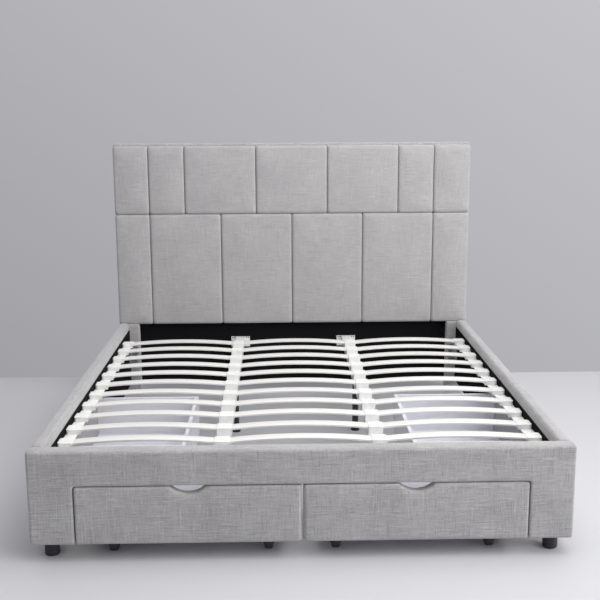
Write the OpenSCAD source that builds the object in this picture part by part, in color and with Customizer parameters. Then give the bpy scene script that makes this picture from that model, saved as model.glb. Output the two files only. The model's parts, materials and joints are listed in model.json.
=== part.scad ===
// Super-king platform bed with four storage drawers that roll on the floor.
// X runs across the bed, Y from the foot to the head, Z up from the floor.
// The origin is on the floor, under the centre of the bed's outline.

/* [Overall] */
// Width over the side rails
bed_w = 1936; // [1930:1:1960]
// Length from the foot frame's face to the back of the headboard
bed_l = 2160; // [2140:10:2240]
// Height of the headboard's top edge
bed_h = 1397; // [1300:1:1450]
// Height of the side rails' top edge
frame_top = 414; // [404:1:424]
// Height of the frame's lower edge above the floor
frame_bottom = 65; // [60:1:66]

/* [Upholstered frame] */
// Thickness of a side rail
rail_t = 53; // [50:1:60]
// Thickness of the foot frame
foot_t = 62; // [55:1:64]
// Thickness of the black lining inside the frame
lining_t = 3; // [2:0.5:4]
// Radius of the openings' and drawer fronts' upper corners
corner_r = 12; // [6:1:16]
// Height of the drawer openings' upper edge
opening_top = 285; // [284:1:288]
// Half width of the opening in the foot frame
foot_opening = 810; // [800:1:820]
// Distance of a side opening from the foot frame's face
side_opening_y = 440; // [430:1:445]
// Length of a side opening
side_opening_l = 760; // [755:1:780]

/* [Headboard] */
// Width over the outer pads
headboard_w = 1940; // [1930:2:1960]
// Thickness of the upholstered board
board_t = 38; // [30:1:45]
// Thickness of the front pads
pad_t = 42; // [30:1:50]
// Thickness of the back lining
back_t = 5; // [3:1:6]
// Height of the board's lower edge
board_bottom = 404; // [400:1:430]
// Height at which the two rows of pads meet
pad_split = 1016; // [900:1:1100]
// Plain border round the pads
pad_border = 1; // [1:1:20]
// Gap between two pads
pad_gap = 1; // [1:1:6]
// Width of a headboard post
post_w = 100; // [80:1:100]
// Thickness of a headboard post
post_t = 80; // [60:1:80]

/* [Slats] */
// Rows of slats
slat_rows = 11; // [8:1:11]
// Distance from one row to the next
slat_pitch = 155; // [140:1:155]
// Distance of the first row from the foot frame's face
slat_first = 270; // [200:1:270]
// Width of a slat
slat_w = 53; // [45:1:60]
// Thickness of a slat
slat_t = 8; // [6:1:10]
// Length of a slat
slat_len = 589; // [580:1:589]
// Rise of a slat's middle over its ends
slat_rise = 16; // [12:1:24]
// Height of the side rails that carry the slats
slat_rail_top = 341; // [330:1:345]
// Height of a slat's ends above those rails
slat_lift = 7; // [5:1:12]
// Height of the middle rails
mid_rail_top = 320; // [310:1:330]
// Distance of a middle rail from the bed's centre line
mid_rail_x = 297; // [295:1:299]

/* [Drawers] */
// Width of a foot drawer's front
foot_front_w = 803; // [780:1:803]
// Width of a side drawer's front
side_front_w = 752; // [740:1:752]
// Height of the drawers' fronts above the floor
front_bottom = 66; // [66:1:70]
// Height of the fronts' upper edge
front_top = 281; // [270:1:282]
// Thickness of a padded drawer front
front_t = 38; // [30:1:40]
// Depth of a foot drawer's box
foot_box_l = 412; // [380:1:420]
// Depth of a side drawer's box
side_box_l = 472; // [420:1:480]
// Thickness of the drawers' side and back boards
box_wall = 16; // [12:1:18]
// Thickness of the drawers' bottom boards
box_floor = 10; // [8:1:12]
// Height of the boxes' upper edge
box_top = 260; // [240:1:265]
// Width of the finger notch
notch_w = 130; // [100:1:140]
// Depth of the finger notch
notch_h = 29; // [18:1:30]

/* [Castors] */
// Radius of a castor's wheel
wheel_r = 25; // [22:1:25]
// Width of a castor's wheel
wheel_w = 32; // [20:1:32]
// Radius of the castor's axle pin
pin_r = 3; // [2.5:0.5:4]

/* [Hidden] */
drawer_parts = ["front", "sides", "back", "bottom", "castor_forks", "front_wheels", "rear_wheels"];

half_w = bed_w / 2;
board_half_w = headboard_w / 2;
rail_in = half_w - rail_t;              // inner face of a side rail
lining_in = rail_in - lining_t;         // inner face of the rail's lining
back_y = bed_l - back_t;                // back of the upholstered board
board_y = back_y - board_t;             // front of the upholstered board
pad_y = board_y - pad_t;                // front of the pads
post_y = back_y - post_t;               // front of the posts
post_out = half_w - 8;                  // outer side of a post
post_in = post_out - post_w;            // inner side of a post
post_bottom = 12;
post_lap = 290;                         // the post's tongue up the board's back
post_tongue_t = 18;
panel_y = 2125;                         // front of the lower panel
panel_t = 18;
panel_bottom = 50;

// Rows of pads, as pad edges in tenths of its width from the centre line
top_edges = [-5, -4, -3, -1, 1, 3, 4, 5];
bottom_edges = [-5, -4, -2, 0, 2, 4, 5];
pad_round = 10;
seam_shift = 5;                         // the seams stand a little left of the middle
function seam_x(edge) = edge * headboard_w / 10 - seam_shift;

// Slats: each is an arc of this radius through its seat and its crown
seat_z = slat_rail_top + slat_lift;
arc_r = (slat_len * slat_len / 4 + slat_rise * slat_rise) / (2 * slat_rise);
arc_half = asin(slat_len / 2 / arc_r);
web_t = 5;                              // wall between two slats' ends in a middle holder
outer_slat_x = mid_rail_x + web_t / 2 + slat_len / 2;
holder_w = 56;
holder_l = 62;
holder_top = seat_z + 13;
slat_gap = 0.3;                         // clearance of a slat in its pocket
cap_in = outer_slat_x + slat_len / 2 - 34;
cap_out = lining_in - 2;

// Steel rails
flange_t = 3;
flange_w = 46;
web_h = 32;
tube_w = 50;
tube_h = 30;
tube_t = 2;
mid_rail_start = foot_t + lining_t;
mid_rail_end = panel_y - flange_t;
slat_rail_start = 70;
slat_rail_end = 1880;
plate_low = mid_rail_top - 58;          // the middle rails' end plates
mid_screw_ys = [347.5, 657.5, 1277.5, 1875];

// Bolts at the four corners
bolt_r = 4;
bolt_gap = 0.3;
bolt_head_r = 7.5;
bolt_head_h = 5;
bolt_depth = 34;
bolt_zs = [212, 258];
bracket_t = 3;
bracket_leg = 62;
bracket_z = [190, 280];
block_x = [850, lining_in];
block_y = [mid_rail_start, mid_rail_start + 75];
block_z = [frame_bottom, 280];
foot_x = 907;
foot_y = 76;
foot_r = 27;
foot_round = 8;
foot_stud_r = 4;
foot_stud_h = 30;
leg_y = 1420;

// Drawer boxes stand on castors, so the bottom board sits on the castor plates
plate_t = 3;
plate_z = 76;
floor_top = plate_z + box_floor;
notch_r = (notch_w * notch_w / 4 + notch_h * notch_h) / (2 * notch_h);
foot_front_x = 3;
foot_box = [56, 756];
side_box = [480, 1160];
side_front_y = side_opening_y + (side_opening_l - side_front_w) / 2;
ear_t = 3;
ear_gap = 0.6;
castor_inset = 68;
front_castor_y = 62;
rear_castor_y = 60;

fabric = "silver";
fabric_dark = "darkgray";
lining_black = [0.08, 0.08, 0.09];
steel_white = "whitesmoke";
slat_white = "ivory";
board_white = "lavender";
castor_black = [0.13, 0.13, 0.14];

// Basic shapes ---------------------------------------------------------------

// Everything on the bed is measured from the foot frame's face
module from_foot() translate([0, -bed_l / 2, 0]) children();

// A box between two corners
module slab(x, y, z) {
    translate([x[0], y[0], z[0]]) cube([x[1] - x[0], y[1] - y[0], z[1] - z[0]]);
}

// The same piece on the right, or mirrored to the left
module on_side(left) {
    if (left) mirror([1, 0, 0]) children();
    else children();
}

// A rod of a radius along +X, +Y or +Z from a point
module rod_x(at, len, r) translate(at) rotate([0, 90, 0]) cylinder(h = len, r = r, $fn = 48);
module rod_y(at, len, r) translate(at) rotate([-90, 0, 0]) cylinder(h = len, r = r, $fn = 48);
module rod_z(at, len, r) translate(at) cylinder(h = len, r = r, $fn = 48);

// Headboard ------------------------------------------------------------------

module headboard_board() color(fabric) from_foot() difference() {
    slab([-board_half_w, board_half_w], [board_y, back_y], [board_bottom, bed_h]);
    for (left = [false, true]) on_side(left)
        slab([post_in, post_out], [back_y - post_tongue_t, back_y + 1],
             [board_bottom - 1, board_bottom + post_lap]);
}

module headboard_back_lining() color(lining_black) from_foot()
    slab([-board_half_w + 12, board_half_w - 12], [back_y, bed_l], [board_bottom + 12, bed_h - 12]);

// One pad with its outer front edges rounded off along the height
module pad(x0, x1, z0, z1) {
    w = x1 - x0;
    translate([x0, pad_y, z0]) linear_extrude(z1 - z0) union() {
        translate([0, pad_round]) square([w, pad_t - pad_round]);
        translate([pad_round, 0]) square([w - 2 * pad_round, pad_t]);
        for (x = [pad_round, w - pad_round]) translate([x, pad_round]) circle(pad_round, $fn = 48);
    }
}

// A row of pads between the given edges
module pad_row(edges, z0, z1) {
    last = len(edges) - 2;
    for (i = [0:last]) {
        x0 = i == 0 ? -board_half_w + pad_border : seam_x(edges[i]) + pad_gap / 2;
        x1 = i == last ? board_half_w - pad_border : seam_x(edges[i + 1]) - pad_gap / 2;
        pad(x0, x1, z0, z1);
    }
}

module headboard_pads_top() color(fabric) from_foot()
    pad_row(top_edges, pad_split + pad_gap / 2, bed_h - 14);

module headboard_pads_bottom() color(fabric) from_foot()
    pad_row(bottom_edges, board_bottom, pad_split - pad_gap / 2);

module headboard_post(left) color(fabric_dark) from_foot() on_side(left) difference() {
    union() {
        slab([post_in, post_out], [post_y, back_y], [post_bottom, board_bottom]);
        slab([post_in, post_out], [back_y - post_tongue_t, back_y],
             [board_bottom, board_bottom + post_lap]);
    }
    bolt_holes();
}

module headboard_lower_panel() color(lining_black) from_foot()
    slab([-post_in, post_in], [panel_y, panel_y + panel_t], [panel_bottom, board_bottom]);

module rear_glides() color(castor_black) from_foot() for (left = [false, true]) on_side(left)
    rod_z([post_in + post_w / 2, post_y + post_t / 2, 0], post_bottom, 20);

// Upholstered frame ----------------------------------------------------------

// A board of thickness t over the XZ plane, w wide, with round upper corners
module round_top_board(w, z0, z1, t) rotate([90, 0, 0]) translate([0, 0, -t]) linear_extrude(t)
    translate([-w / 2, z0]) union() {
        square([w, z1 - z0 - corner_r]);
        translate([corner_r, 0]) square([w - 2 * corner_r, z1 - z0]);
        for (x = [corner_r, w - corner_r]) translate([x, z1 - z0 - corner_r])
            circle(corner_r, $fn = 48);
    }

module foot_opening_cut() translate([0, -1, 0])
    round_top_board(2 * foot_opening, frame_bottom - 1, opening_top, foot_t + lining_t + 2);

module side_opening_cut() translate([lining_in - 1, side_opening_y + side_opening_l / 2, 0])
    rotate([0, 0, 90]) mirror([0, 1, 0])
        round_top_board(side_opening_l, frame_bottom - 1, opening_top, rail_t + lining_t + 2);

module foot_frame() color(fabric) from_foot() difference() {
    slab([-half_w, half_w], [0, foot_t], [frame_bottom, frame_top]);
    foot_opening_cut();
    for (left = [false, true]) on_side(left) bolt_holes();
}

module foot_frame_lining() color(lining_black) from_foot() difference() {
    slab([-rail_in, rail_in], [foot_t, foot_t + lining_t], [frame_bottom + 5, frame_top - 40]);
    foot_opening_cut();
    for (left = [false, true]) on_side(left) bolt_holes();
}

module side_rail(left) color(fabric) from_foot() on_side(left) difference() {
    slab([rail_in, half_w], [foot_t, post_y], [frame_bottom, frame_top]);
    side_opening_cut();
    bolt_holes();
}

module side_rail_lining(left) color(lining_black) from_foot() on_side(left) difference() {
    slab([lining_in, rail_in], [foot_t + lining_t, post_y],
         [frame_bottom + 5, frame_top - 40]);
    side_opening_cut();
    bolt_holes();
}

// Wooden block in the foot corner, which the frame is bolted to
module corner_blocks() color("burlywood") from_foot() for (left = [false, true]) on_side(left)
    difference() {
        slab(block_x, block_y, block_z);
        bolt_holes();
    }

// Steel angle at the head end, between the rail and the post
module corner_brackets() color("dimgray") from_foot() for (left = [false, true]) on_side(left)
    difference() {
        union() {
            slab([lining_in - bracket_t, lining_in], [post_y - bracket_leg, post_y], bracket_z);
            slab([lining_in - bracket_leg + 20, lining_in], [post_y - bracket_t, post_y],
                 bracket_z);
        }
        bolt_holes();
    }

// The corner bolts' shanks, grown by a clearance for their holes
module bolt_shanks(gap) {
    r = bolt_r + gap;
    for (z = bolt_zs) {
        rod_x([lining_in - bracket_t, post_y - 36, z], bolt_depth + gap, r);
        rod_y([lining_in - 24, post_y - bracket_t, z], bolt_depth + gap, r);
        rod_x([block_x[0], block_y[0] + 50, z], block_x[1] - block_x[0] + 30 + gap, r);
        rod_y([block_x[0] + 20, block_y[1] - 75 - 40 - gap, z], 75 + 40 + gap, r);
    }
}

module bolt_holes() {
    bolt_shanks(bolt_gap);
    rod_z([foot_x, foot_y, frame_bottom - 1], foot_stud_h + 1 + bolt_gap, foot_stud_r + bolt_gap);
}

// A bolt head with six sides, its flat face at z = 0
module bolt_head() cylinder(h = bolt_head_h, r = bolt_head_r, $fn = 6);

module frame_bolts() color("gray") from_foot() for (left = [false, true]) on_side(left) {
    bolt_shanks(0);
    for (z = bolt_zs) {
        translate([lining_in - bracket_t, post_y - 36, z]) rotate([0, -90, 0]) bolt_head();
        translate([lining_in - 24, post_y - bracket_t, z]) rotate([90, 0, 0]) bolt_head();
        translate([block_x[0], block_y[0] + 50, z]) rotate([0, -90, 0]) bolt_head();
        translate([block_x[0] + 20, block_y[1], z]) rotate([-90, 0, 0]) bolt_head();
    }
}

// Round black foot with a stud up into the frame's corner
module front_feet() color(castor_black) from_foot() for (left = [false, true]) on_side(left)
    translate([foot_x, foot_y, 0]) rotate_extrude($fn = 96) union() {
        square([foot_r - foot_round, foot_round]);
        translate([0, foot_round]) square([foot_r, frame_bottom - foot_round]);
        intersection() {
            translate([foot_r - foot_round, foot_round]) circle(foot_round, $fn = 48);
            square([foot_r, foot_round]);
        }
        translate([0, frame_bottom]) square([foot_stud_r, foot_stud_h]);
    }

// Rails that carry the slats -------------------------------------------------

module slat_rail(left) color(steel_white) from_foot() on_side(left) difference() {
    union() {
        slab([lining_in - flange_w, lining_in], [slat_rail_start, slat_rail_end],
             [slat_rail_top - flange_t, slat_rail_top]);
        slab([lining_in - flange_t, lining_in], [slat_rail_start, slat_rail_end],
             [slat_rail_top - web_h, slat_rail_top]);
    }
    slat_rail_screw_shanks(bolt_gap);
}

slat_screw_ys = [for (i = [0:5]) slat_first - slat_pitch / 2 + i * 2 * slat_pitch];

module slat_rail_screw_shanks(gap) for (y = slat_screw_ys)
    rod_x([lining_in - flange_t - 1, y, slat_rail_top - 16], flange_t + 1, 2.5 + gap);

module slat_rail_screws() color("gray") from_foot() for (left = [false, true]) on_side(left) {
    slat_rail_screw_shanks(0);
    for (y = slat_screw_ys)
        rod_x([lining_in - flange_t - 3, y, slat_rail_top - 16], 2.5, 5);
}

module mid_rail(left) color(steel_white) from_foot() on_side(left) difference() {
    slab([mid_rail_x - tube_w / 2, mid_rail_x + tube_w / 2], [mid_rail_start + flange_t, mid_rail_end],
         [mid_rail_top - tube_h, mid_rail_top]);
    slab([mid_rail_x - tube_w / 2 + tube_t, mid_rail_x + tube_w / 2 - tube_t],
         [mid_rail_start + flange_t - 1, mid_rail_end + 1],
         [mid_rail_top - tube_h + tube_t, mid_rail_top - tube_t]);
    for (y = mid_screw_ys) rod_z([mid_rail_x, y, mid_rail_top - tube_t - 1], tube_t + 2, 3.3);
}

// Plates that hold the middle rails at the head and at the foot
module mid_rail_brackets() color(steel_white) from_foot() for (left = [false, true]) on_side(left) {
    for (y = [mid_rail_start, mid_rail_end]) difference() {
        slab([mid_rail_x - 52, mid_rail_x + 52], [y, y + flange_t],
             [plate_low, mid_rail_top]);
        for (x = [-44, -32, 32, 44])
            rod_y([mid_rail_x + x, y - 1, mid_rail_top - 6], flange_t + 2, 3.5);
    }
}

module mid_rail_screws() color("gray") from_foot() for (left = [false, true]) on_side(left)
    for (y = mid_screw_ys) {
        rod_z([mid_rail_x, y, mid_rail_top - 12], 12, 3);
        rod_z([mid_rail_x, y, mid_rail_top], 2, 5.5);
    }

module support_legs() color(castor_black) from_foot() for (left = [false, true]) on_side(left)
    rod_z([mid_rail_x, leg_y, 12], mid_rail_top - tube_h - 12, 15);

module support_leg_pads() color("black") from_foot() for (left = [false, true]) on_side(left)
    rod_z([mid_rail_x, leg_y, 0], 12, 21);

// Slats ----------------------------------------------------------------------

// One bowed slat centred on x = 0, its ends' lower edge at the seat height.
// grow makes it larger on every side, for the pockets that hold it.
module slat(grow) {
    spread = grow > 0 ? 0.25 : 0;
    translate([0, 0, seat_z + slat_rise - arc_r]) rotate([90, 0, 0])
        rotate([0, 0, 90 - arc_half - spread])
            rotate_extrude(angle = 2 * (arc_half + spread), $fn = 720)
                translate([arc_r - grow, -slat_w / 2 - grow])
                    square([slat_t + 2 * grow, slat_w + 2 * grow]);
}

module each_row() for (i = [0:slat_rows - 1])
    translate([0, slat_first + i * slat_pitch, 0]) children();

module slats_side(left) color(slat_white) from_foot() on_side(left) each_row()
    translate([outer_slat_x, 0, 0]) slat(0);

module slats_middle() color(slat_white) from_foot() each_row() slat(0);

// Plastic cap that holds a slat's outer end on the side rail
module slat_end_caps() color(steel_white) from_foot() for (left = [false, true]) on_side(left)
    each_row() difference() {
        union() {
            slab([cap_in, cap_out - 10], [-holder_l / 2, holder_l / 2],
                 [slat_rail_top, holder_top]);
            slab([cap_out - 11, cap_out], [-holder_l / 2 + 10, holder_l / 2 - 10],
                 [slat_rail_top, holder_top]);
            for (y = [-holder_l / 2 + 10, holder_l / 2 - 10])
                rod_z([cap_out - 10, y, slat_rail_top], holder_top - slat_rail_top, 10);
        }
        translate([outer_slat_x, 0, 0]) slat(slat_gap);
    }

// Double holder on a middle rail, with a wall between the two slats' ends
module mid_slat_holders() color(steel_white) from_foot() for (left = [false, true]) on_side(left)
    each_row() difference() {
        slab([mid_rail_x - holder_w / 2, mid_rail_x + holder_w / 2],
             [-holder_l / 2, holder_l / 2], [mid_rail_top, holder_top]);
        slat(slat_gap);
        translate([outer_slat_x, 0, 0]) slat(slat_gap);
    }

// Drawers --------------------------------------------------------------------
// Each drawer is drawn with its front on the XZ plane, facing -Y and centred on
// x = 0, and its place on the bed then turns and moves it.

module front_panel(w) difference() {
    round_top_board(w, front_bottom, front_top, front_t);
    translate([0, -1, front_top - notch_h + notch_r]) rotate([-90, 0, 0])
        cylinder(h = front_t + 2, r = notch_r, $fn = 360);
}

module box_sides(w, l) for (x = [-w / 2, w / 2 - box_wall])
    slab([x, x + box_wall], [front_t, front_t + l], [floor_top, box_top]);

module box_back(w, l) slab([-w / 2 + box_wall, w / 2 - box_wall],
                           [front_t + l - box_wall, front_t + l], [floor_top, box_top]);

module box_bottom(w, l) slab([-w / 2, w / 2], [front_t, front_t + l], [plate_z, floor_top]);

// Fork of one castor: a plate, two ears and the riveted axle pin
module castor_fork(along_x) rotate([0, 0, along_x ? 90 : 0]) {
    inner = wheel_w / 2 + ear_gap;
    slab([-23, 23], [-28, 28], [plate_z - plate_t, plate_z]);
    for (x = [-inner - ear_t, inner]) translate([x, 0, 0]) rotate([90, 0, 90])
        linear_extrude(ear_t) union() {
            polygon([[-8, wheel_r], [8, wheel_r], [16, plate_z - plate_t],
                     [-16, plate_z - plate_t]]);
            translate([0, wheel_r]) circle(8, $fn = 48);
        }
    rod_x([-inner - ear_t - 2, 0, wheel_r], 2 * (inner + ear_t + 2), pin_r);
}

module castor_wheel(along_x) rotate([0, 0, along_x ? 90 : 0]) translate([0, 0, wheel_r])
    rotate([0, 90, 0]) rotate_extrude($fn = 96)
        polygon([[pin_r + 0.05, -wheel_w / 2], [wheel_r - 5, -wheel_w / 2],
                 [wheel_r, -wheel_w / 2 + 5], [wheel_r, wheel_w / 2 - 5],
                 [wheel_r - 5, wheel_w / 2], [pin_r + 0.05, wheel_w / 2]]);

// Distances of the castors from the drawer's centre and from its face
module castor_pair(w, y) for (x = [-w / 2 + castor_inset, w / 2 - castor_inset])
    translate([x, y, 0]) children();

// One named piece of a drawer with a front and a box of these sizes
module drawer_part(part, front_w, w, l) {
    front_y = front_t + front_castor_y;
    rear_y = front_t + l - rear_castor_y;
    if (part == "front") color(fabric) front_panel(front_w);
    if (part == "sides") color(board_white) box_sides(w, l);
    if (part == "back") color(board_white) box_back(w, l);
    if (part == "bottom") color(board_white) box_bottom(w, l);
    if (part == "castor_forks") color(castor_black) for (y = [front_y, rear_y])
        castor_pair(w, y) castor_fork(false);
    if (part == "front_wheels") color(castor_black) castor_pair(w, front_y) castor_wheel(false);
    if (part == "rear_wheels") color(castor_black) castor_pair(w, rear_y) castor_wheel(false);
}

module foot_drawer(left, part) from_foot() on_side(left)
    translate([foot_front_x + foot_front_w / 2, 0, 0])
        drawer_part(part, foot_front_w, foot_box[1] - foot_box[0], foot_box_l);

module side_drawer(left, part) from_foot() on_side(left)
    translate([half_w, (side_box[0] + side_box[1]) / 2, 0]) rotate([0, 0, 90])
        drawer_part(part, side_front_w, side_box[1] - side_box[0], side_box_l);

// Nodes ----------------------------------------------------------------------

headboard_board();
headboard_back_lining();
headboard_pads_top();
headboard_pads_bottom();
headboard_post(true);  // headboard_post_left
headboard_post(false);  // headboard_post_right
headboard_lower_panel();
rear_glides();
foot_frame();
foot_frame_lining();
side_rail(true);  // side_rail_left
side_rail(false);  // side_rail_right
side_rail_lining(true);  // side_rail_lining_left
side_rail_lining(false);  // side_rail_lining_right
corner_blocks();
corner_brackets();
frame_bolts();
front_feet();
slat_rail(true);  // slat_rail_left
slat_rail(false);  // slat_rail_right
slat_rail_screws();
mid_rail(true);  // mid_rail_left
mid_rail(false);  // mid_rail_right
mid_rail_brackets();
mid_rail_screws();
support_legs();
support_leg_pads();
slat_end_caps();
mid_slat_holders();
slats_side(true);  // slats_left
slats_middle();
slats_side(false);  // slats_right
for (part = drawer_parts) {
    foot_drawer(true, part);
    foot_drawer(false, part);
    side_drawer(true, part);
    side_drawer(false, part);
}
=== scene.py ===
import json
import math

import bmesh
import bpy
import numpy as np
from mathutils import Matrix, Vector


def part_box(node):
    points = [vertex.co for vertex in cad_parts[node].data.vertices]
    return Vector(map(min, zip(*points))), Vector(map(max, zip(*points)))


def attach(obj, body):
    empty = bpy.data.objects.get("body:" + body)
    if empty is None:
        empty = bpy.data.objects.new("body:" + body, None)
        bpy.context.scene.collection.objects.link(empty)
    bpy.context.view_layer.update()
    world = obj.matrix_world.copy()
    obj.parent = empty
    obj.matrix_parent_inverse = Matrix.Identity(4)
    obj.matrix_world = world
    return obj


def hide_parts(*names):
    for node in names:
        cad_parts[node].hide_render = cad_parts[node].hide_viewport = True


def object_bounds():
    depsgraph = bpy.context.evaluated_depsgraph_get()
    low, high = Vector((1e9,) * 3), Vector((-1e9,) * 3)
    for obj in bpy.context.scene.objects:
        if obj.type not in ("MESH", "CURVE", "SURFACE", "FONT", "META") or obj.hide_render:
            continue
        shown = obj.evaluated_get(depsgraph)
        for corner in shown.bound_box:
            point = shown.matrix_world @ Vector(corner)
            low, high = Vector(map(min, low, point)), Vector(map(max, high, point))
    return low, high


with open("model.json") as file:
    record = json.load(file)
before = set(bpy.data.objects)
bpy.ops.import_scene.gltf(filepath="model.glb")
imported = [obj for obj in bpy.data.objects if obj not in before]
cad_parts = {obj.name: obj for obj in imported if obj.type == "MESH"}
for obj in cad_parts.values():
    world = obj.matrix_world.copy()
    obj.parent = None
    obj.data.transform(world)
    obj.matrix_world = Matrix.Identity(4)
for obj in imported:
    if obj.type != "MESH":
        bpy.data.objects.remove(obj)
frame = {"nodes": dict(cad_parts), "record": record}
cad_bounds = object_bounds()
nodes = frame["nodes"]
bodies = {n: b for b, names in frame["record"]["behaviour"]["bodies"].items() for n in names}
slots = {s["node"]: s["material_slot"] for s in frame["record"]["subparts"]}
MM = 0.001


# Materials --------------------------------------------------------------------

class Nodes:
    """A new material and short ways to add nodes to it."""

    def __init__(self, name, color, roughness, **sockets):
        self.material = bpy.data.materials.new(name)
        self.material.use_nodes = True
        self.tree = self.material.node_tree
        self.shader = self.tree.nodes["Principled BSDF"]
        self.shader.inputs["Base Color"].default_value = (*color, 1)
        self.shader.inputs["Roughness"].default_value = roughness
        for socket, value in sockets.items():
            self.shader.inputs[socket.replace("_", " ")].default_value = value
        self.place = self.tree.nodes.new("ShaderNodeTexCoord").outputs["Object"]

    def link(self, output, target):
        self.tree.links.new(output, target)

    def noise(self, scale, detail=2.0, roughness=0.5):
        """Noise in the piece's own space; scale is per metre along X, Y and Z."""
        mapping = self.tree.nodes.new("ShaderNodeMapping")
        mapping.inputs["Scale"].default_value = scale
        self.link(self.place, mapping.inputs["Vector"])
        noise = self.tree.nodes.new("ShaderNodeTexNoise")
        noise.inputs["Scale"].default_value = 1.0
        noise.inputs["Detail"].default_value = detail
        noise.inputs["Roughness"].default_value = roughness
        self.link(mapping.outputs["Vector"], noise.inputs["Vector"])
        return noise.outputs["Fac"]

    def math(self, operation, a, b=None, c=None):
        node = self.tree.nodes.new("ShaderNodeMath")
        node.operation = operation
        for socket, value in zip(node.inputs, (a, b, c)):
            if value is None:
                continue
            if isinstance(value, (int, float)):
                socket.default_value = value
            else:
                self.link(value, socket)
        return node.outputs[0]

    def span(self, value, low, high, to_low=0.0, to_high=1.0):
        """Maps value from one range to another, held at the ends."""
        node = self.tree.nodes.new("ShaderNodeMapRange")
        self.link(value, node.inputs["Value"])
        for name, number in (("From Min", low), ("From Max", high),
                             ("To Min", to_low), ("To Max", to_high)):
            node.inputs[name].default_value = number
        return node.outputs["Result"]

    def mix(self, factor, dark, light):
        node = self.tree.nodes.new("ShaderNodeMix")
        node.data_type = "RGBA"
        self.link(factor, node.inputs["Factor"])
        node.inputs["A"].default_value = (*dark, 1)
        node.inputs["B"].default_value = (*light, 1)
        return node.outputs["Result"]

    def color(self, output):
        self.link(output, self.shader.inputs["Base Color"])

    def bump(self, height, distance, strength=1.0):
        node = self.tree.nodes.new("ShaderNodeBump")
        node.inputs["Distance"].default_value = distance
        node.inputs["Strength"].default_value = strength
        self.link(height, node.inputs["Height"])
        self.link(node.outputs["Normal"], self.shader.inputs["Normal"])

    def roughness(self, output):
        self.link(output, self.shader.inputs["Roughness"])


def shade(color, factor):
    """The colour made darker or lighter, held at white."""
    return tuple(min(1.0, c * factor) for c in color)


def linen(name, color, contrast=0.30):
    """Slubby linen: threads along X, Y and Z, so that each face shows two sets that cross.
    The slubs come and go in patches, and contrast is how far they are from the colour."""
    m = Nodes(name, color, 0.92, Sheen_Weight=0.42, Sheen_Roughness=0.4, Specular_IOR_Level=0.2)
    # noise cells per metre across a thread and along it
    thread, run = 330.0, 22.0
    sets = [(run, thread, thread), (thread, run, thread), (thread, thread, run)]
    weave, slub = None, None
    for scale, weight in zip(sets, (1.0, 0.7, 0.8)):
        fine = m.math("MULTIPLY", m.noise(scale, 2.0), weight)
        long = m.noise([v * 0.6 for v in scale], 2.0, 0.65)
        light = m.math("SUBTRACT", m.span(long, 0.55, 0.78), m.span(long, 0.45, 0.22))
        patch = m.span(m.noise([v * 0.12 + 6 for v in scale], 2.0), 0.35, 0.62, 0.25, 1.0)
        long = m.math("MULTIPLY", m.math("MULTIPLY", light, patch), weight)
        weave = fine if weave is None else m.math("ADD", weave, fine)
        slub = long if slub is None else m.math("ADD", slub, long)
    cloud = m.noise((7.0, 7.0, 7.0), 3.0)
    total = m.math("ADD", m.math("MULTIPLY", weave, 0.45), m.math("MULTIPLY", slub, 0.55))
    total = m.math("ADD", total, m.math("MULTIPLY", cloud, 0.5))
    m.color(m.mix(m.span(total, 0.50, 1.44), shade(color, 1 - contrast),
                  shade(color, 1 + contrast)))
    m.bump(m.math("ADD", weave, slub), 0.0006, 0.35)
    return m.material


def painted_wood(name, color):
    """Lacquered slat: its grain runs along X and shows faintly."""
    m = Nodes(name, color, 0.38, Specular_IOR_Level=0.5)
    grain = m.noise((6.0, 260.0, 260.0), 3.0)
    tone = m.noise((0.8, 7.0, 7.0), 1.0)
    both = m.math("ADD", m.math("MULTIPLY", grain, 0.3), m.math("MULTIPLY", tone, 0.7))
    m.color(m.mix(m.span(both, 0.3, 0.7), shade(color, 0.94), shade(color, 1.04)))
    m.roughness(m.span(grain, 0.3, 0.7, 0.32, 0.46))
    m.bump(grain, 0.00025, 0.35)
    return m.material


def board(name, color):
    """Melamine-faced board with a faint wood emboss."""
    m = Nodes(name, color, 0.4, Specular_IOR_Level=0.45)
    pores = m.noise((30.0, 30.0, 420.0), 3.0)
    m.color(m.mix(m.span(pores, 0.3, 0.7), shade(color, 0.97), shade(color, 1.02)))
    m.roughness(m.span(pores, 0.3, 0.7, 0.36, 0.5))
    m.bump(pores, 0.0002, 0.3)
    return m.material


def coated_steel(name, color):
    """Powder coat with its orange peel."""
    roughness = 0.36
    m = Nodes(name, color, roughness, Specular_IOR_Level=0.5, Coat_Weight=0.15, Coat_Roughness=0.3)
    peel = m.noise((420.0, 420.0, 420.0), 2.0)
    dust = m.noise((18.0, 18.0, 18.0), 2.0)
    m.color(m.mix(m.span(dust, 0.3, 0.7), shade(color, 0.95), shade(color, 1.03)))
    m.roughness(m.span(dust, 0.3, 0.7, roughness - 0.05, roughness + 0.08))
    m.bump(peel, 0.00015, 0.4)
    return m.material


def moulded(name, color):
    """Moulded plastic with a fine texture, a little worn in patches."""
    roughness = 0.45
    m = Nodes(name, color, roughness, Specular_IOR_Level=0.45)
    texture = m.noise((900.0, 900.0, 900.0), 1.0)
    wear = m.noise((40.0, 40.0, 40.0), 3.0)
    m.color(m.mix(m.span(wear, 0.3, 0.7), shade(color, 0.93), shade(color, 1.06)))
    m.roughness(m.span(wear, 0.3, 0.7, roughness - 0.06, roughness + 0.1))
    m.bump(texture, 0.0001, 0.4)
    return m.material


def zinc(name, color):
    """Galvanised steel with its spangle."""
    m = Nodes(name, color, 0.35, Metallic=1.0)
    spangle = m.noise((160.0, 160.0, 160.0), 3.0)
    m.color(m.mix(m.span(spangle, 0.3, 0.7), shade(color, 0.8), shade(color, 1.15)))
    m.roughness(m.span(spangle, 0.3, 0.7, 0.28, 0.45))
    return m.material


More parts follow.
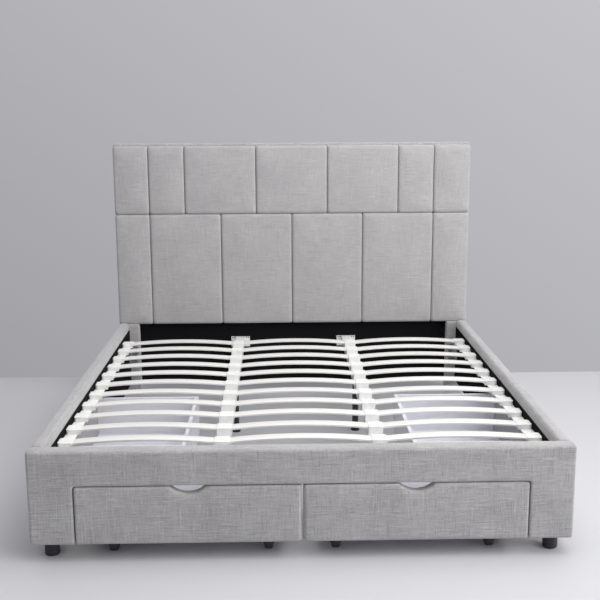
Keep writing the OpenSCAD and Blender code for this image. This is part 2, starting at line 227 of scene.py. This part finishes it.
def pine(name, color):
    """Raw softwood, with its rings and fibres upright."""
    m = Nodes(name, color, 0.7, Specular_IOR_Level=0.3)
    rings = m.noise((90.0, 90.0, 4.0), 3.0)
    fibres = m.noise((500.0, 500.0, 20.0), 2.0)
    both = m.math("ADD", m.math("MULTIPLY", rings, 0.7), m.math("MULTIPLY", fibres, 0.3))
    m.color(m.mix(m.span(both, 0.35, 0.65), shade(color, 0.7), shade(color, 1.15)))
    m.bump(both, 0.0004, 0.5)
    return m.material


def felt(name, color):
    """Non-woven black lining."""
    m = Nodes(name, color, 0.95, Specular_IOR_Level=0.08)
    fibres = m.noise((380.0, 380.0, 380.0), 3.0, 0.7)
    m.color(m.mix(m.span(fibres, 0.35, 0.7), shade(color, 0.6), shade(color, 1.7)))
    m.bump(fibres, 0.0005, 0.5)
    return m.material


MAKERS = {
    "upholstery": linen, "black_lining": felt, "white_steel": coated_steel, "zinc_steel": zinc,
    "block_wood": pine, "black_steel": coated_steel, "black_plastic": moulded,
    "white_plastic": moulded, "white_slat": painted_wood, "white_board": board,
    "castor_housing": moulded, "castor_tyre": moulded,
}
COLORS = {
    "upholstery": (0.380, 0.373, 0.373), "black_lining": (0.006, 0.006, 0.007),
    "white_steel": (0.83, 0.83, 0.82), "zinc_steel": (0.55, 0.56, 0.58),
    "block_wood": (0.55, 0.38, 0.21), "black_steel": (0.02, 0.02, 0.023),
    "black_plastic": (0.017, 0.017, 0.022), "white_plastic": (0.78, 0.78, 0.76),
    "white_slat": (0.73, 0.725, 0.70), "white_board": (0.83, 0.83, 0.87),
    "castor_housing": (0.02, 0.02, 0.022), "castor_tyre": (0.03, 0.03, 0.032),
}
MATERIALS = {name: make(name, COLORS[name]) for name, make in MAKERS.items()}
# the headboard's pads show calmer slubs than the frame
PAD_LINEN = linen("upholstery of the pads", COLORS["upholstery"], 0.19)


# Mesh building ----------------------------------------------------------------

def upholster(piece, node, material):
    """A new piece rides on the body of the CAD node that it replaces, and takes the material given.
    """
    piece.data.materials.append(material)
    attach(piece, bodies[node])
    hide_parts(node)
    return piece


def lines(edges, radius, step):
    """Grid lines between edges, closer near each edge so that its rounding is smooth."""
    turn = [radius * (1 - math.cos(math.radians(a))) for a in (0, 18, 36, 54, 72, 90)]
    out = []
    for low, high in zip(edges, edges[1:]):
        middle = max(2, round((high - low - 2 * radius) / step))
        out += [low + t for t in turn]
        out += list(np.linspace(low + radius, high - radius, middle + 1)[1:-1])
        out += [high - t for t in reversed(turn)]
    return np.array(sorted(set(round(float(v), 7) for v in out)))


def ripple(u, v, seed):
    """Low waves of hand-stretched cloth, between about -1 and 1."""
    rng = np.random.default_rng(seed)
    total = np.zeros_like(u)
    waves = 7
    for _ in range(waves):
        angle, scale, phase = rng.uniform(0, math.pi), rng.uniform(9, 34), rng.uniform(0, 6.3)
        total += np.sin((u * math.cos(angle) + v * math.sin(angle)) * scale + phase)
    return total / waves


def solid_sheet(name, u, v, near, far, place, keep=None):
    """A closed mesh between two surfaces over a grid: near and far are depths at its points.
    keep says which cells of the grid are there; without it, all are."""
    count = u.size
    index = np.arange(count).reshape(u.shape)
    points = np.concatenate([place(u, v, far).reshape(-1, 3), place(u, v, near).reshape(-1, 3)])
    faces = []
    if keep is None:
        keep = np.ones((u.shape[0] - 1, u.shape[1] - 1), bool)
    rows, columns = keep.shape
    for i in range(rows):
        for j in range(columns):
            if not keep[i, j]:
                continue
            a, b, c, d = index[i, j], index[i + 1, j], index[i + 1, j + 1], index[i, j + 1]
            faces.append((a, b, c, d))
            faces.append((d + count, c + count, b + count, a + count))
            sides = (((i, j - 1), a, b), ((i + 1, j), b, c), ((i, j + 1), c, d), ((i - 1, j), d, a))
            for (p, q), start, end in sides:
                if not (0 <= p < rows and 0 <= q < columns and keep[p, q]):
                    faces.append((end, start, start + count, end + count))
    mesh = bpy.data.meshes.new(name)
    mesh.from_pydata([tuple(p) for p in points], [], faces)
    work = bmesh.new()
    work.from_mesh(mesh)
    bmesh.ops.delete(work, geom=[p for p in work.verts if not p.link_faces], context="VERTS")
    bmesh.ops.recalc_face_normals(work, faces=work.faces)
    work.to_mesh(mesh)
    work.free()
    mesh.shade_smooth()
    piece = bpy.data.objects.new(name, mesh)
    bpy.context.scene.collection.objects.link(piece)
    return piece


def drop(t, radius):
    """How far a rounded edge falls away, from 0 at t = 0 to the radius at its rim."""
    return radius * (1 - np.sqrt(np.clip(1 - t * t, 0, 1)))


def round_square(u, v, low, high, radii):
    """Turns the square corners of a grid into round ones. Returns it with t, 1 at the rim."""
    ru0, ru1, rv0, rv1 = radii
    tu = np.clip(1 - (u - low[0]) / ru0, 0, 1) - np.clip(1 - (high[0] - u) / ru1, 0, 1)
    tv = np.clip(1 - (v - low[1]) / rv0, 0, 1) - np.clip(1 - (high[1] - v) / rv1, 0, 1)
    length = np.hypot(tu, tv)
    t = np.maximum(abs(tu), abs(tv))
    shrink = np.where(length > 1e-9, t / np.maximum(length, 1e-9), 1)
    for value, axis, r0, r1 in ((tu, 0, ru0, ru1), (tv, 1, rv0, rv1)):
        grid = u if axis == 0 else v
        moved = np.where(value > 0, low[axis] + r0 * (1 - value * shrink),
                         high[axis] - r1 * (1 + value * shrink))
        if axis == 0:
            u = np.where(value == 0, grid, moved)
        else:
            v = np.where(value == 0, grid, moved)
    return u, v, t


PLACES = {
    # depth runs from the back of the piece to its face
    "foot": lambda low, high: lambda u, v, w: np.stack([u, high.y - w, v], -1),
    "right": lambda low, high: lambda u, v, w: np.stack([low.x + w, u, v], -1),
    "left": lambda low, high: lambda u, v, w: np.stack([high.x - w, u, v], -1),
}


def facing(side, low, high):
    """(u range, v range, thickness, place) of a box whose face looks to a side of the bed."""
    thick = high.y - low.y if side == "foot" else high.x - low.x
    u = (low.x, high.x) if side == "foot" else (low.y, high.y)
    return u, (low.z, high.z), thick, PLACES[side](low, high)


CLOTH_WAVE = 0.6 * MM
FRAME_GRID = 22 * MM
OPENING_LIP, OPENING_CORNER = 8 * MM, 14 * MM
TOUCHING = 1e-6


def upholstered_frame(name, node, side, opening, radii):
    """A board frame under stretched linen, with an opening at its lower edge for drawers."""
    low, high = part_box(node)
    (u0, u1), (v0, v1), thick, place = facing(side, low, high)
    radius, corner = max(radii), OPENING_CORNER
    (o0, o1), top = opening
    u, v = np.meshgrid(lines([u0, o0, o1, u1], radius, FRAME_GRID),
                       lines([v0, top, v1], radius, FRAME_GRID), indexing="ij")
    middle_u, middle_v = (u[1:, 1:] + u[:-1, :-1]) / 2, (v[1:, 1:] + v[:-1, :-1]) / 2
    keep = ~((middle_u > o0) & (middle_u < o1) & (middle_v < top))
    u, v, t = round_square(u, v, (u0, v0), (u1, v1), radii)
    # the grid's points near the opening's two upper corners move onto their arcs
    for edge, sign in ((o0, 1), (o1, -1)):
        cu, cv = edge + sign * corner, top - corner
        on_side = (abs(u - edge) < TOUCHING) & (v > cv) & (v <= top + TOUCHING)
        in_reach = (sign * (u - edge) >= -TOUCHING) & (sign * (u - cu) < 0)
        on_top = (abs(v - top) < TOUCHING) & in_reach
        along = np.where(on_side, (top - v) / corner, -abs(u - edge) / corner)
        angle = np.radians(45 * (1 - along))
        moved = on_side | on_top
        u = np.where(moved, cu - sign * corner * np.cos(angle), u)
        v = np.where(moved, cv + corner * np.sin(angle), v)
    # the face rolls back to a small lip all round the opening
    half, centre = (o1 - o0) / 2 - corner, (o0 + o1) / 2
    qu, qv = abs(u - centre) - half, v - (top - corner)
    inside = np.hypot(np.maximum(qu, 0), np.maximum(qv, 0)) + np.minimum(np.maximum(qu, qv), 0)
    open_t = np.clip(1 - (inside - corner) / OPENING_LIP, 0, 1) * OPENING_LIP / radius
    t = np.minimum(1, np.hypot(t, open_t))
    near = thick - drop(t, radius) + ripple(u, v, len(name)) * CLOTH_WAVE * (1 - t)
    piece = solid_sheet(name, u, v, near, drop(t, radius * 0.8), place, keep)
    upholster(piece, node, MATERIALS["upholstery"])


PAD_ROUND, PAD_CROWN, PAD_GRID = 18 * MM, 6 * MM, 13 * MM
RIM_DROP, RIM_PULL = 10 * MM, 0.6 * MM
TIGHT_CLOTH_WAVE = 0.4 * MM


def pad(name, low, high, seed, node):
    """A foam pad under linen, still flat: its stitched rim sits back from its face."""
    (u0, u1), (v0, v1), thick, place = facing("foot", low, high)
    radius = PAD_ROUND
    u, v = np.meshgrid(lines([u0, u1], radius, PAD_GRID), lines([v0, v1], radius, PAD_GRID),
                       indexing="ij")
    u, v, _ = round_square(u, v, (u0, v0), (u1, v1), (radius * 0.5,) * 4)
    edge_u = np.clip(np.minimum(u - u0, u1 - u) / radius, 0, 1)
    edge_v = np.clip(np.minimum(v - v0, v1 - v) / radius, 0, 1)
    fall = np.minimum(1, np.hypot(1 - edge_u, 1 - edge_v))
    wave = ripple(u, v, seed) * TIGHT_CLOTH_WAVE * (1 - fall)
    near = thick - PAD_CROWN - drop(fall, RIM_DROP) + wave
    pull = RIM_PULL * np.sin(np.pi * (v - v0) / (v1 - v0)) * fall
    u = u + np.where(u < (u0 + u1) / 2, pull, -pull)
    piece = solid_sheet(name, u, v, near, np.zeros_like(near), place)
    return upholster(piece, node, PAD_LINEN)


SWELL_FRAMES = 20


def blow_up(pads, face_y):
    """Pressure swells the linen of the pads against their stitched rims, as foam does.
    The swelling is scaled down where a pad's highest point would pass its crown."""
    for piece in pads:
        rim_y = face_y + PAD_CROWN + RIM_DROP * 0.5
        rim = [v.index for v in piece.data.vertices if v.co.y > rim_y]
        piece.vertex_groups.new(name="stitched").add(rim, 1.0, "REPLACE")
        cloth = piece.modifiers.new("cloth", "CLOTH")
        cloth.point_cache.frame_end = SWELL_FRAMES
        cloth.collision_settings.use_collision = False
        settings = cloth.settings
        settings.quality = 6
        settings.mass = 0.3
        settings.tension_stiffness = settings.compression_stiffness = 15
        settings.shear_stiffness = 5
        settings.bending_stiffness = 0.5
        settings.use_pressure = True
        settings.uniform_pressure_force = 4
        settings.vertex_group_mass = "stitched"
        settings.effector_weights.gravity = 0
    scene = bpy.context.scene
    for moment in range(1, SWELL_FRAMES + 1):
        scene.frame_set(moment)
    graph = bpy.context.evaluated_depsgraph_get()
    for piece in pads:
        start = np.array([v.co for v in piece.data.vertices])
        swollen = np.array([v.co for v in piece.evaluated_get(graph).data.vertices])
        piece.modifiers.remove(piece.modifiers["cloth"])
        moved = swollen - start
        out = np.maximum(0, -moved[:, 1])
        moved[:, 1] = -out * min(1.0, PAD_CROWN / max(out.max(), 1e-6))
        moved[:, 0] = moved[:, 2] = 0
        piece.data.vertices.foreach_set("co", (start + moved).ravel())
        piece.data.update()
        piece.modifiers.new("smooth", "SUBSURF").render_levels = 1
    scene.frame_set(1)


# Headboard --------------------------------------------------------------------

def pad_boxes(node):
    """The boxes of a CAD node's separate solids, from left to right."""
    work = bmesh.new()
    work.from_mesh(nodes[node].data)
    bmesh.ops.remove_doubles(work, verts=work.verts, dist=1e-5)
    todo, found = set(work.verts), []
    while todo:
        stack = [todo.pop()]
        island = list(stack)
        while stack:
            for edge in stack.pop().link_edges:
                for vert in edge.verts:
                    if vert in todo:
                        todo.remove(vert)
                        stack.append(vert)
                        island.append(vert)
        points = np.array([v.co for v in island])
        found.append((Vector(points.min(0)), Vector(points.max(0))))
    work.free()
    return sorted(found, key=lambda pair: pair[0].x)


def headboard_pads():
    pads = []
    for row, node in (("top", "headboard_pads_top"), ("bottom", "headboard_pads_bottom")):
        for i, (low, high) in enumerate(pad_boxes(node), 1):
            piece = pad(f"headboard_pad_{row}_{i}", low, high, i * 7 + len(row), node)
            pads.append(piece)
    blow_up(pads, low.y)


BOARD_GRID = 30 * MM
BOARD_ROUND, POST_ROUND = 8 * MM, 6 * MM


def rounded_block(name, low, high, radius, node):
    """A fabric-covered board with small round edges."""
    (u0, u1), (v0, v1), thick, place = facing("foot", low, high)
    u, v = np.meshgrid(lines([u0, u1], radius, BOARD_GRID), lines([v0, v1], radius, BOARD_GRID),
                       indexing="ij")
    u, v, t = round_square(u, v, (u0, v0), (u1, v1), (radius,) * 4)
    near = thick - drop(t, radius) + ripple(u, v, len(name)) * TIGHT_CLOTH_WAVE * (1 - t)
    piece = solid_sheet(name, u, v, near, drop(t, radius), place)
    upholster(piece, node, MATERIALS["upholstery"])


def headboard():
    headboard_pads()
    board_low, board_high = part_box("headboard_board")
    rounded_block("headboard_board_cover", board_low, board_high, BOARD_ROUND, "headboard_board")
    for side in ("left", "right"):
        node = f"headboard_post_{side}"
        low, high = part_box(node)
        # the post's tongue goes on inside the board's back, so the cover ends under the board
        high = Vector((high.x, high.y, board_low.z))
        rounded_block(f"post_cover_{side}", low, high, POST_ROUND, node)


# Frame ------------------------------------------------------------------------

# from a drawer's front to the edge of its opening
FRONT_GAP = 4 * MM
# roundings of a cover: its two ends, then its lower and upper edge
FOOT_ROUNDS = (10 * MM, 10 * MM, 10 * MM, 12 * MM)
SIDE_ROUNDS = (4 * MM, 12 * MM, 10 * MM, 18 * MM)


def upholstered_rails():
    """The foot frame and the side rails, each open below for its drawers' fronts."""
    left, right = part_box("foot_drawer_left_front"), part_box("foot_drawer_right_front")
    width = (left[0].x - FRONT_GAP, right[1].x + FRONT_GAP)
    upholstered_frame("foot_frame_cover", "foot_frame", "foot",
                      (width, right[1].z + FRONT_GAP), FOOT_ROUNDS)
    for side in ("left", "right"):
        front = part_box(f"side_drawer_{side}_front")
        width = (front[0].y - FRONT_GAP, front[1].y + FRONT_GAP)
        upholstered_frame(f"side_rail_cover_{side}", f"side_rail_{side}", side,
                          (width, front[1].z + FRONT_GAP), SIDE_ROUNDS)


# Drawers ----------------------------------------------------------------------

NOTCH_HALF, NOTCH_DEPTH, NOTCH_ROLL = 65 * MM, 29 * MM, 13 * MM
NOTCH_POINTS = 33
FRONT_ROUND, FRONT_GRID = 9 * MM, 18 * MM
GAP_ROUND = 14 * MM
BACK_ROUND = 4 * MM


def front_columns(u0, u1, radius):
    """Grid lines across a front: those of any board, and closer ones over the notch."""
    spots = np.linspace(-NOTCH_HALF, NOTCH_HALF, NOTCH_POINTS) + (u0 + u1) / 2
    across = np.concatenate([lines([u0, u1], radius, FRONT_GRID), spots])
    across = sorted(set(round(float(x), 6) for x in across))
    apart = [across[0]]
    for x in across[1:]:
        if x - apart[-1] > 0.7 * MM:
            apart.append(x)
    return np.array(apart)


def notch_dip(offset):
    """How far the upper edge is lowered at a distance from the front's middle: an arc."""
    radius = (NOTCH_HALF ** 2 + NOTCH_DEPTH ** 2) / (2 * NOTCH_DEPTH)
    arc = radius - NOTCH_DEPTH - np.sqrt(np.clip(radius ** 2 - offset ** 2, 0, None))
    return np.where(abs(offset) < NOTCH_HALF, np.minimum(0, arc), 0)


def drawer_front(drawer, side):
    """A padded front whose upper edge dips in a round finger notch with a soft lip."""
    node = f"{drawer}_front"
    low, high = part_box(node)
    (u0, u1), (v0, v1), thick, place = facing(side, low, high)
    radius = FRONT_ROUND
    # the two foot drawers' fronts round off more towards the gap between them
    r0 = GAP_ROUND if drawer == "foot_drawer_right" else radius
    r1 = GAP_ROUND if drawer == "foot_drawer_left" else radius
    share = lines([0, v1 - v0], radius, FRONT_GRID) / (v1 - v0)
    u, s = np.meshgrid(front_columns(u0, u1, max(r0, r1)), share, indexing="ij")
    offset = u - (u0 + u1) / 2
    dip = notch_dip(offset)
    # the grid bends down under the notch only in its upper part
    still = 0.45
    v = v0 + s * (v1 - v0) + dip * np.clip((s - still) / (1 - still), 0, 1)
    square_u, square_v, t = round_square(u, v, (u0, v0), (u1, v1), (r0, r1, radius, radius))
    u, v = square_u, np.where(abs(offset) < NOTCH_HALF + radius, v, square_v)
    # under the notch the upper edge rolls over more deeply
    roll = radius + (NOTCH_ROLL - radius) * np.clip(1.6 * (1 - abs(offset) / NOTCH_HALF), 0, 1)
    top_t = np.maximum(0, 1 - (v1 + dip - v) / roll)
    side_t = np.clip(1 - np.minimum((u - u0) / r0, (u1 - u) / r1), 0, 1)
    low_t = np.clip(1 - (v - v0) / radius, 0, 1)
    t = np.minimum(1, np.maximum(t * (abs(offset) >= NOTCH_HALF), top_t))
    t = np.minimum(1, np.maximum(t, np.hypot(side_t, low_t)))
    deep = np.where(s > 0.5, roll, radius)
    deep = np.where(u < u0 + r0, r0, np.where(u > u1 - r1, r1, deep))
    near = thick - drop(t, deep) + ripple(u, v, len(drawer)) * CLOTH_WAVE * (1 - t)
    piece = solid_sheet(f"{drawer}_front_cover", u, v, near, drop(t, BACK_ROUND), place)
    upholster(piece, node, MATERIALS["upholstery"])


def drawers():
    for drawer, side in (("foot_drawer_left", "foot"), ("foot_drawer_right", "foot"),
                         ("side_drawer_left", "left"), ("side_drawer_right", "right")):
        drawer_front(drawer, side)


# CAD pieces that stay ---------------------------------------------------------

# eased edges by slot: millimetres and segments
BEVELS = {
    "white_slat": (1.6, 3), "white_plastic": (2.2, 3), "white_board": (0.8, 2),
    "white_steel": (0.8, 2), "zinc_steel": (0.6, 2), "block_wood": (1.5, 2),
    "black_plastic": (1.5, 3), "castor_housing": (1.0, 2), "castor_tyre": (1.5, 2),
}


def keep_cad_pieces():
    """The rigid CAD nodes stay, with eased edges and their own materials."""
    for name, piece in nodes.items():
        if piece.hide_render:
            continue
        slot = slots[name]
        piece.data.materials.clear()
        piece.data.materials.append(MATERIALS[slot])
        if slot in BEVELS:
            width, segments = BEVELS[slot]
            weld = piece.modifiers.new("weld", "WELD")
            weld.merge_threshold = 0.02 * MM
            bevel = piece.modifiers.new("ease", "BEVEL")
            bevel.width = width * MM
            bevel.segments = segments
            bevel.limit_method = "ANGLE"
            bevel.angle_limit = math.radians(35)


# Stage ------------------------------------------------------------------------

# the floor ends a little behind the headboard
FLOOR_END, FLOOR_HALF = 1.378, 7.0


def stage():
    near_left, near_right = (-FLOOR_HALF, -FLOOR_HALF, 0), (FLOOR_HALF, -FLOOR_HALF, 0)
    far_left, far_right = (-FLOOR_HALF, FLOOR_END, 0), (FLOOR_HALF, FLOOR_END, 0)
    floor_mesh = bpy.data.meshes.new("floor")
    floor_mesh.from_pydata([near_left, near_right, far_right, far_left], [], [(0, 1, 2, 3)])
    floor = bpy.data.objects.new("floor", floor_mesh)
    bpy.context.scene.collection.objects.link(floor)
    paint = Nodes("floor", (0.535, 0.535, 0.55), 0.45, Specular_IOR_Level=0.4)
    floor.data.materials.append(paint.material)


def area_light(name, place, target, size, power):
    """A softbox at a place, turned to a target; its size is in metres, its power in watts."""
    light = bpy.data.lights.new(name, "AREA")
    light.shape = "RECTANGLE"
    light.size, light.size_y = size
    light.energy = power
    lamp = bpy.data.objects.new(name, light)
    lamp.location = place
    lamp.rotation_euler = (Vector(target) - Vector(place)).to_track_quat("-Z", "Y").to_euler()
    bpy.context.scene.collection.objects.link(lamp)


def backdrop():
    """Plain soft studio grey, lighter to the right and above."""
    world = bpy.data.worlds.new("backdrop")
    world.use_nodes = True
    tree = world.node_tree
    toward = tree.nodes.new("ShaderNodeTexCoord").outputs["Generated"]
    split = tree.nodes.new("ShaderNodeSeparateXYZ")
    tree.links.new(toward, split.inputs[0])
    total = tree.nodes.new("ShaderNodeMath")
    total.operation = "MULTIPLY_ADD"
    total.inputs[1].default_value = 0.7
    tree.links.new(split.outputs["X"], total.inputs[0])
    tree.links.new(split.outputs["Z"], total.inputs[2])
    ramp = tree.nodes.new("ShaderNodeMapRange")
    for name, number in (("From Min", -0.6), ("From Max", 0.6), ("To Min", 0.0), ("To Max", 1.0)):
        ramp.inputs[name].default_value = number
    tree.links.new(total.outputs[0], ramp.inputs["Value"])
    mix = tree.nodes.new("ShaderNodeMix")
    mix.data_type = "RGBA"
    mix.inputs["A"].default_value = (0.315, 0.31, 0.335, 1)
    mix.inputs["B"].default_value = (0.625, 0.62, 0.645, 1)
    tree.links.new(ramp.outputs["Result"], mix.inputs["Factor"])
    tree.links.new(mix.outputs["Result"], tree.nodes["Background"].inputs["Color"])
    bpy.context.scene.world = world


def lights():
    area_light("overhead", (0.9, -0.9, 3.4), (0.1, -0.1, 0.3), (3.2, 3.2), 92)
    area_light("window", (5.4, -2.9, 2.4), (0.0, 0.2, 0.6), (2.8, 2.8), 222)
    area_light("front", (2.0, -4.4, 3.6), (0.3, -0.6, 0.3), (3.0, 2.0), 25)
    backdrop()
    bpy.context.scene.view_settings.view_transform = "Standard"


def camera():
    """Eye height and a slight turn, as a person stands a few steps from the foot."""
    yaw, pitch, roll = 0.0213, 0.1948, -0.0049
    sideways, back, height = -0.075, 3.233, 1.583
    ahead = Vector((math.sin(yaw) * math.cos(pitch), math.cos(yaw) * math.cos(pitch),
                    -math.sin(pitch)))
    level = Vector((math.cos(yaw), -math.sin(yaw), 0))
    above = level.cross(ahead)
    right = math.cos(roll) * level + math.sin(roll) * above
    up = math.cos(roll) * above - math.sin(roll) * level
    data = bpy.data.cameras.new("camera")
    data.lens = 58.4
    eye = bpy.data.objects.new("camera", data)
    bpy.context.scene.collection.objects.link(eye)
    place = Matrix((right, up, -ahead)).transposed().to_4x4()
    place.translation = (sideways, cad_bounds[0].y - back, height)
    eye.matrix_world = place
    bpy.context.scene.camera = eye


camera()
headboard()
upholstered_rails()
drawers()
keep_cad_pieces()
stage()
lights()
